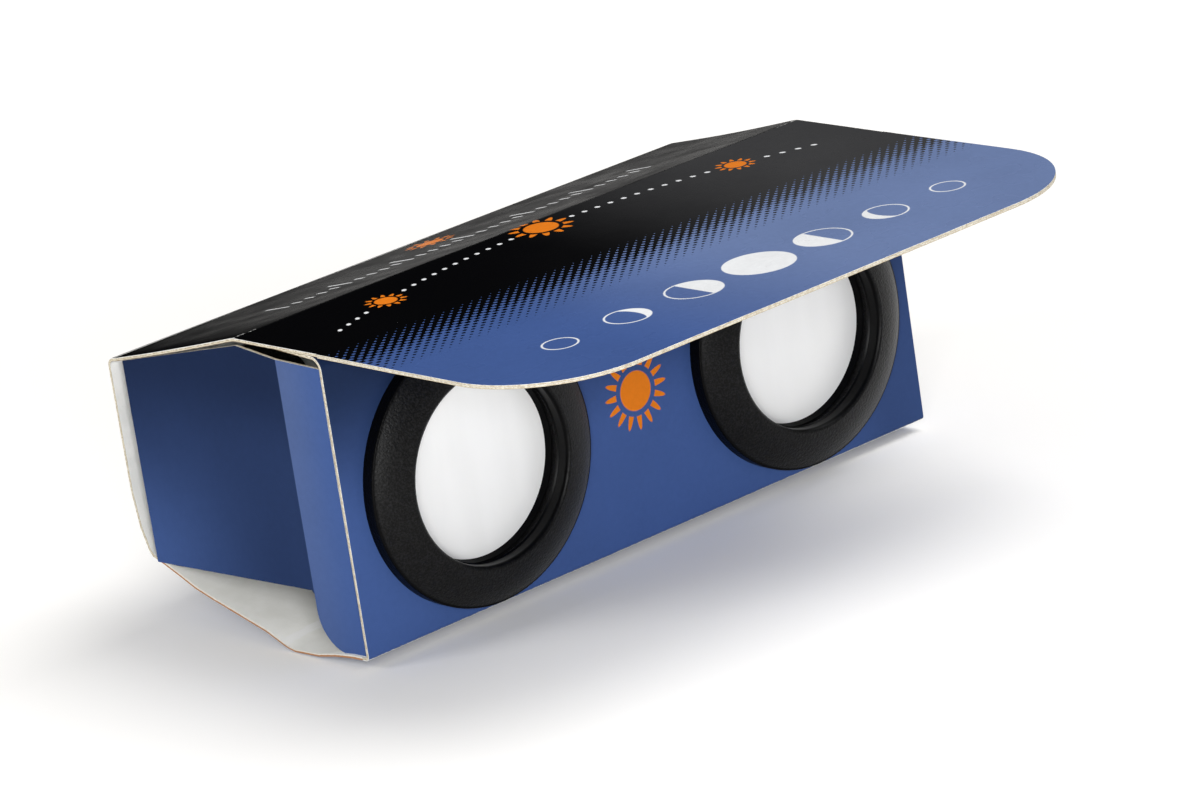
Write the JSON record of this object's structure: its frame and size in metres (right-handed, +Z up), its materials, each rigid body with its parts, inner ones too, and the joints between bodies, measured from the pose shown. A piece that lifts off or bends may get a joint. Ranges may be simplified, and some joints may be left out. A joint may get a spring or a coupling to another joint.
{
  "type": "eclipse glasses",
  "caption": "Fold-flat card viewer for the sun: filtered objective cells under a hood, eye lenses behind, in a creased six-sided card tube that collapses.",
  "frame": {"origin": "middle of the flat base section that the viewer stands on", "axes": "+X along the width, -Y out of the lens board towards the sun, +Z up"},
  "size_m": [0.1166, 0.1048, 0.0476],
  "materials": {
    "front_print": "blue print on coated card, satin varnish",
    "top_print": "black to blue print with a dot fade, satin varnish",
    "back_strip_print": "charcoal print, satin varnish",
    "rear_print": "blue print, satin varnish",
    "under_print": "blue print, satin varnish",
    "end_flap_print": "blue print, satin varnish",
    "hood_underside": "blue print, satin varnish",
    "plain_card": "unprinted white card",
    "black_moulding": "fine-grained matt black moulding",
    "grey_spacer": "smooth grey ring",
    "solar_film": "silvered film",
    "lens": "polished clear lens"
  },
  "bodies": {
    "front_board": {"front_panel": "front_print", "front_liner": "plain_card", "left_objective_ring": "black_moulding", "left_solar_filter": "solar_film", "left_filter_spacer": "grey_spacer", "left_objective_lens": "lens", "left_objective_retainer": "black_moulding", "right_objective_ring": "black_moulding", "right_solar_filter": "solar_film", "right_filter_spacer": "grey_spacer", "right_objective_lens": "lens", "right_objective_retainer": "black_moulding"},
    "hood": {"hood_sheet": "top_print", "hood_backing": "hood_underside"},
    "top_front": {"top_front_panel": "top_print", "glue_flap": "plain_card"},
    "top_back": {"top_back_panel": "back_strip_print"},
    "eye_board": {"back_panel": "rear_print", "left_eye_ring": "black_moulding", "left_eye_lens": "lens", "left_eye_retainer": "black_moulding", "right_eye_ring": "black_moulding", "right_eye_lens": "lens", "right_eye_retainer": "black_moulding"},
    "bottom_front": {"bottom_front_panel": "under_print"},
    "bottom_back": {"bottom_back_panel": "under_print"},
    "left_strip": {"left_wing_strip": "end_flap_print"},
    "left_leaf": {"left_wing_panel": "end_flap_print"},
    "right_strip": {"right_wing_strip": "end_flap_print"},
    "right_leaf": {"right_wing_panel": "end_flap_print"}
  },
  "joints": [
    {"name": "collapse", "type": "hinge", "parent": "front_board", "child": "top_front", "pos_m": [0, -0.0095, 0.0476], "axis": [1, 0, 0], "range_deg": [0, 85]},
    {"name": "top_crease", "type": "hinge", "parent": "top_front", "child": "top_back", "pos_m": [0, 0.01, 0.0471], "axis": [-1, 0, 0], "range_deg": [0, 127.82]},
    {"name": "eye_board_fold", "type": "hinge", "parent": "top_back", "child": "eye_board", "pos_m": [0, 0.0422, 0.0402], "axis": [1, 0, 0], "range_deg": [0, 42.82]},
    {"name": "base_fold", "type": "hinge", "parent": "front_board", "child": "bottom_front", "pos_m": [0, -0.0095, 0], "axis": [-1, 0, 0], "range_deg": [0, 85.5]},
    {"name": "bottom_crease", "type": "hinge", "parent": "bottom_front", "child": "bottom_back", "pos_m": [0, 0.01, 0.0005], "axis": [1, 0, 0], "range_deg": [0, 127.82]},
    {"name": "left_strip_fold", "type": "hinge", "parent": "front_board", "child": "left_strip", "pos_m": [-0.05715, -0.009, 0.0238], "axis": [0, 0, -1], "range_deg": [0, 54.5]},
    {"name": "left_leaf_fold", "type": "hinge", "parent": "left_strip", "child": "left_leaf", "pos_m": [-0.05715, 0.0013, 0.0238], "axis": [0, 0, -1], "range_deg": [0, 32.7]},
    {"name": "right_strip_fold", "type": "hinge", "parent": "front_board", "child": "right_strip", "pos_m": [0.05715, -0.009, 0.0238], "axis": [0, 0, 1], "range_deg": [0, 54.5]},
    {"name": "right_leaf_fold", "type": "hinge", "parent": "right_strip", "child": "right_leaf", "pos_m": [0.05715, 0.0013, 0.0238], "axis": [0, 0, 1], "range_deg": [0, 32.7]},
    {"name": "hood_fold", "type": "hinge", "parent": "front_board", "child": "hood", "pos_m": [0, -0.0095, 0.0476], "axis": [-1, 0, 0], "range_deg": [-22, 40]}
  ],
  "couplings": [
    {"joint": "top_crease", "follows": "collapse", "ratio": 1.4979},
    {"joint": "eye_board_fold", "follows": "collapse", "ratio": 0.4979},
    {"joint": "base_fold", "follows": "collapse", "ratio": 1},
    {"joint": "bottom_crease", "follows": "collapse", "ratio": 1.4979},
    {"joint": "left_strip_fold", "follows": "collapse", "ratio": 0.6353},
    {"joint": "left_leaf_fold", "follows": "collapse", "ratio": 0.3788},
    {"joint": "right_strip_fold", "follows": "collapse", "ratio": 0.6353},
    {"joint": "right_leaf_fold", "follows": "collapse", "ratio": 0.3788}
  ]
}
